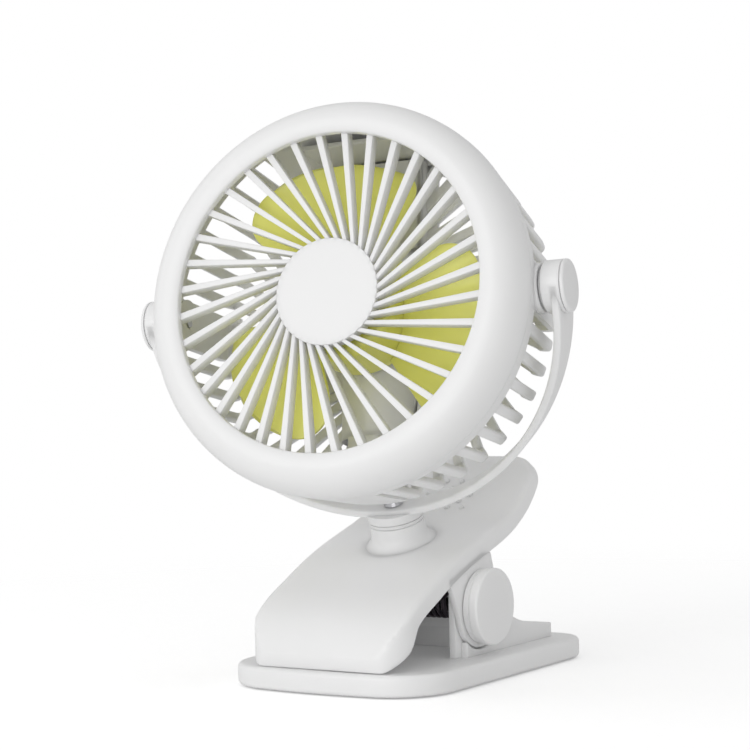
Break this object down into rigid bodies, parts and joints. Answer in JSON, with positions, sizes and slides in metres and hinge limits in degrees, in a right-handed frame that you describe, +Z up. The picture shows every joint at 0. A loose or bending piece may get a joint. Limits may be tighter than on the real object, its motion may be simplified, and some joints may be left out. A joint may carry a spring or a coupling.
{
  "type": "clip fan",
  "caption": "Small desk fan on a spring clip base, with a round grilled head that tilts in a swivelling yoke.",
  "frame": {"origin": "middle of the underside of the base, on the face that rests", "axes": "+Z up, the fan blows towards -Y, +X to the right as seen from the front"},
  "size_m": [0.1568, 0.1315, 0.1988],
  "materials": {
    "white_plastic": "satin moulded plastic",
    "blade_yellow": "smooth moulded plastic, pale yellow",
    "pad_rubber": "matt soft rubber",
    "screw_steel": "plain bright steel",
    "spring_steel": "dark oiled spring steel",
    "cell_wrap": "shrink film",
    "board_green": "coated board",
    "black_plastic": "matt moulded plastic",
    "lens_clear": "clear moulded lens"
  },
  "bodies": {
    "base": {"base_shell": "white_plastic", "base_cover": "white_plastic", "base_screw_1": "screw_steel", "base_screw_2": "screw_steel", "base_screw_3": "screw_steel", "base_screw_4": "screw_steel", "base_pad": "pad_rubber", "jaw_pad_lower": "pad_rubber", "clip_pin": "screw_steel", "pin_cap_left": "white_plastic", "pin_cap_right": "white_plastic", "torsion_spring": "spring_steel"},
    "lever": {"clip_lever": "white_plastic", "jaw_pad_upper": "pad_rubber", "swivel_washer": "white_plastic", "swivel_screw": "screw_steel", "swivel_nut": "screw_steel"},
    "yoke": {"yoke": "white_plastic", "pivot_cap_left": "white_plastic", "pivot_cap_right": "white_plastic", "pivot_screw_left": "screw_steel", "pivot_screw_right": "screw_steel", "friction_washer_left": "pad_rubber", "friction_washer_right": "pad_rubber"},
    "head": {"front_grille": "white_plastic", "rear_housing": "white_plastic", "back_cover": "white_plastic", "battery_cell": "cell_wrap", "circuit_board": "board_green", "usb_socket": "screw_steel", "power_switch": "black_plastic", "indicator_lens": "lens_clear", "motor_body": "black_plastic", "motor_screw_1": "screw_steel", "motor_screw_2": "screw_steel"},
    "rotor": {"fan_rotor": "blade_yellow", "motor_shaft": "screw_steel"},
    "button": {"power_button": "white_plastic"}
  },
  "joints": [
    {"name": "clip_open", "type": "hinge", "parent": "base", "child": "lever", "pos_m": [0, -0.0015, 0.0246], "axis": [-1, 0, 0], "range_deg": [0, 25], "stiffness_Nm_per_rad": 0.6, "springref_deg": -34.38, "deforming": ["torsion_spring"]},
    {"name": "yoke_swivel", "type": "hinge", "parent": "lever", "child": "yoke", "pos_m": [0, -0.00545, 0.05383], "axis": [0, -0.31, 0.9507], "continuous": true},
    {"name": "head_tilt", "type": "hinge", "parent": "yoke", "child": "head", "pos_m": [0, -0.02999, 0.12908], "axis": [0.9818, 0.1804, 0.0588], "continuous": true},
    {"name": "rotor_spin", "type": "hinge", "parent": "head", "child": "rotor", "pos_m": [0, -0.02999, 0.12908], "axis": [-0.1635, 0.9616, -0.2204], "continuous": true},
    {"name": "power_button_press", "type": "slide", "parent": "head", "child": "button", "axis": [0.1635, -0.9616, 0.2204], "range_m": [0, 0.0006], "stiffness_N_per_m": 600}
  ]
}
